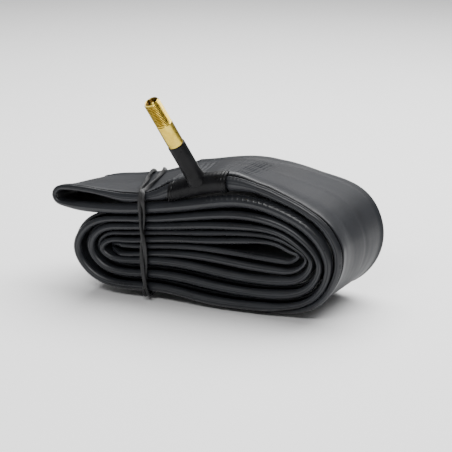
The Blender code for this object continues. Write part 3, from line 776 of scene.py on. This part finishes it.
def make_spring(mat, place):
    """Coil round the needle, between the barrel's ledge and the needle's collar."""
    turns, per_turn = 7, 28
    steps = turns * per_turn
    verts = []
    for i in range(steps + 1):
        angle = 2 * math.pi * i / per_turn
        height = SPRING_SPAN[0] + (SPRING_SPAN[1] - SPRING_SPAN[0]) * i / steps
        for c in (2 * math.pi * k / 12 for k in range(12)):
            r = SPRING_R + SPRING_WIRE_R * math.cos(c)
            verts.append((r * math.cos(angle) * MM, r * math.sin(angle) * MM,
                          (height + SPRING_WIRE_R * math.sin(c)) * MM))
    faces = [tuple(f) for f in grid_faces(steps + 1, 12, False, True)]
    faces += [tuple(range(12)), tuple(steps * 12 + k for k in range(12))]
    return new_piece("coil_spring", verts, faces, mat, matrix=place)


# ---- rubber band ---------------------------------------------------------------------------------
BAND_WIDE = 2.1
BAND_THIN = 1.3


def band_line(corners, radius):
    """Closed smooth line through corners, each rounded off, as evenly spaced points."""
    points = []
    count = len(corners)
    for i in range(count):
        before, corner, after = (np.array(corners[(i + k) % count], float) for k in (-1, 0, 1))
        start = corner + (before - corner) / np.linalg.norm(before - corner) * radius
        end = corner + (after - corner) / np.linalg.norm(after - corner) * radius
        for t in np.linspace(0.0, 1.0, 9):
            points.append((1 - t) ** 2 * start + 2 * t * (1 - t) * corner + t * t * end)
    return np.array(points)


def even(points, step):
    closed = np.vstack((points, points[:1]))
    length = np.concatenate(([0.0], np.cumsum(np.linalg.norm(np.diff(closed, axis=0), axis=1))))
    count = int(length[-1] / step)
    at = np.arange(count) * length[-1] / count
    return np.stack([np.interp(at, length, closed[:, k]) for k in range(3)], axis=1)


def make_band(strip, shift, mat):
    """The band's two windings, as two closed loops: apart over the top, twisted together in front."""
    out = 0.5 * BAND_THIN + 0.12
    top = strip.height(1, -31.5) - 1.1 + 2.1 + out
    low = run_height(16, -31.0) - 0.95 - out
    for number, side in enumerate((1.0, -1.0)):
        back_x = -48.8 + 2.8 * side
        top_back = strip.height(1, back_x) + back_rise(1, back_x) + 1.7 + out
        corners = [(-32.0, -HALF_WIDTH - out, top), (back_x, HALF_WIDTH + out, top_back),
                   (back_x + 1.0, HALF_WIDTH + 5.4 + out, run_height(3, back_x) + 0.6),
                   (-34.0 + 1.1 * side, HALF_WIDTH + 8.3 + out, low),
                   (-30.2, -HALF_WIDTH - out, low)]
        line = even(band_line(corners, 3.0), 0.5)
        up = np.clip((line[:, 2] - low) / (top - low), 0.0, 1.0)
        front = smooth(-HALF_WIDTH + 1.5, -HALF_WIDTH - 0.3, line[:, 1])
        phase = math.pi * (2.2 * up + 0.1)
        line[:, 0] += front * side * 0.95 * np.cos(phase)
        ends = smooth(0.0, 0.12, up) * smooth(0.0, 0.1, 1 - up)
        line[:, 1] -= front * (0.75 + 0.75 * side * np.sin(phase)) * ends
        over_top = smooth(0.0, 6.0, HALF_WIDTH - np.abs(line[:, 1])) * (line[:, 2] > 30)
        line[:, 0] += (1 - front) * side * 0.9 * over_top
        yield band_mesh("elastic_winding_%d" % (number + 1), line, shift, mat, twist=3.0 + number)


def band_mesh(name, line, shift, mat, twist):
    along = np.roll(line, -1, 0) - np.roll(line, 1, 0)
    along /= np.linalg.norm(along, axis=1)[:, None]
    side = np.array([1.0, 0.0, 0.0]) - along * along[:, 0:1]
    side /= np.linalg.norm(side, axis=1)[:, None]
    up = np.cross(along, side)
    count = len(line)
    turn = twist * 2 * math.pi * np.arange(count) / count
    angles = np.linspace(0.0, 2 * math.pi, 17)[:-1]
    shape = [(0.5 * BAND_WIDE * np.sign(math.cos(a)) * abs(math.cos(a)) ** 0.6,
              0.5 * BAND_THIN * np.sign(math.sin(a)) * abs(math.sin(a)) ** 0.6) for a in angles]
    verts = []
    for i in range(count):
        c, d = math.cos(turn[i]), math.sin(turn[i])
        for wide, thin in shape:
            verts.append(line[i] + side[i] * (wide * c - thin * d) + up[i] * (wide * d + thin * c))
    verts = (np.array(verts) + np.array(shift)) * MM
    uvs = [(i * 0.5 * MM, a * MM) for i in range(count) for a in angles]
    return new_piece(name, verts, grid_faces(count, len(angles), True, True), mat, uvs)


# ---- stage ---------------------------------------------------------------------------------------
def make_camera(shift):
    a, e = math.radians(CAMERA_AROUND), math.radians(CAMERA_UP)
    back = Vector((math.sin(a) * math.cos(e), -math.cos(a) * math.cos(e), math.sin(e)))
    target = (Vector(CAMERA_LOOKS_AT) + Vector(shift)) * MM
    data = bpy.data.cameras.new("camera")
    data.lens = CAMERA_LENS
    data.sensor_width = 36.0
    camera = bpy.data.objects.new("camera", data)
    camera.location = target + back * CAMERA_AWAY
    camera.rotation_euler = back.to_track_quat('Z', 'Y').to_euler()
    bpy.context.scene.collection.objects.link(camera)
    bpy.context.scene.camera = camera


def make_light(name, place, aim, size, power):
    data = bpy.data.lights.new(name, 'AREA')
    data.shape = 'RECTANGLE'
    data.size, data.size_y = size
    data.energy = power
    light = bpy.data.objects.new(name, data)
    light.location = place
    light.rotation_euler = (Vector(place) - Vector(aim)).to_track_quat('Z', 'Y').to_euler()
    bpy.context.scene.collection.objects.link(light)


def make_stage():
    mesh = bpy.data.meshes.new("floor")
    mesh.from_pydata([(-3, -3, 0), (3, -3, 0), (3, 3, 0), (-3, 3, 0)], [], [(0, 1, 2, 3)])
    mesh.materials.append(pale_floor())
    floor = bpy.data.objects.new("floor", mesh)
    bpy.context.scene.collection.objects.link(floor)
    world = bpy.data.worlds.new("studio")
    world.use_nodes = True
    world.node_tree.nodes["Background"].inputs["Color"].default_value = (1.0, 1.0, 1.0, 1.0)
    world.node_tree.nodes["Background"].inputs["Strength"].default_value = 0.24
    bpy.context.scene.world = world
    aim = (0.0, 0.0, 0.03)
    make_light("top_softbox", (0.10, 0.40, 0.85), aim, (1.3, 0.9), 28.0)
    make_light("front_softbox", (0.10, -0.75, 0.65), aim, (0.5, 0.18), 4.5)


def main():
    strip = Strip(PATH_STEP)
    place = valve_frame()
    root = Vector((VALVE_X, -HALF_WIDTH + VALVE_DEPTH, strip.height(1, VALVE_X)))
    shift = place.translation / MM - root
    make_camera(shift)
    make_stage()
    # the last argument of turned_brass is the radius within which painted shade darkens the brass
    butyl, sleeve, brass = butyl_rubber(), sleeve_rubber(), turned_brass("brass_look", 0.0, CORE_BORE_R - 0.1)
    inside_brass = turned_brass("core_brass_look", 0.08, 0.0)
    swivel_brass = turned_brass("swivel_brass_look", 0.12, 1.9)
    fitted = [
        (make_tube(strip, shift, butyl), "pack", "butyl_rubber", ("tube",)),
        (make_pad(strip, shift, sleeve), "pack", "butyl_rubber", ("valve_pad",)),
        (make_sleeve(sleeve, place), "pack", "sleeve_rubber", ("valve_sleeve",)),
        (make_stem(brass, place), "pack", "brass", ("valve_stem",)),
        (make_plug(swivel_brass, place), "plug", "brass", ("core_plug",)),
        (make_pin(inside_brass, place), "pin", "brass", ("core_pin",)),
    ]
    steel, seal = drawn_steel(), seal_rubber()
    coil = make_spring(steel, place)
    fitted.append((coil, "core", "spring_steel", ("core_spring",)))
    for winding in make_band(strip, shift, band_rubber()):
        fitted.append((winding, "pack", "band_rubber", ("elastic_band",)))
    for piece, body, slot, nodes in fitted:
        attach(piece, body)
        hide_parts(*nodes)
    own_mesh(coil)
    finishes = {"core_barrel": inside_brass, "spring_seat": inside_brass, "core_cup": inside_brass,
                "core_seal": seal, "cup_seal": seal}
    for node, look in finishes.items():
        frame["nodes"][node].data.materials.clear()
        frame["nodes"][node].data.materials.append(look)


main()
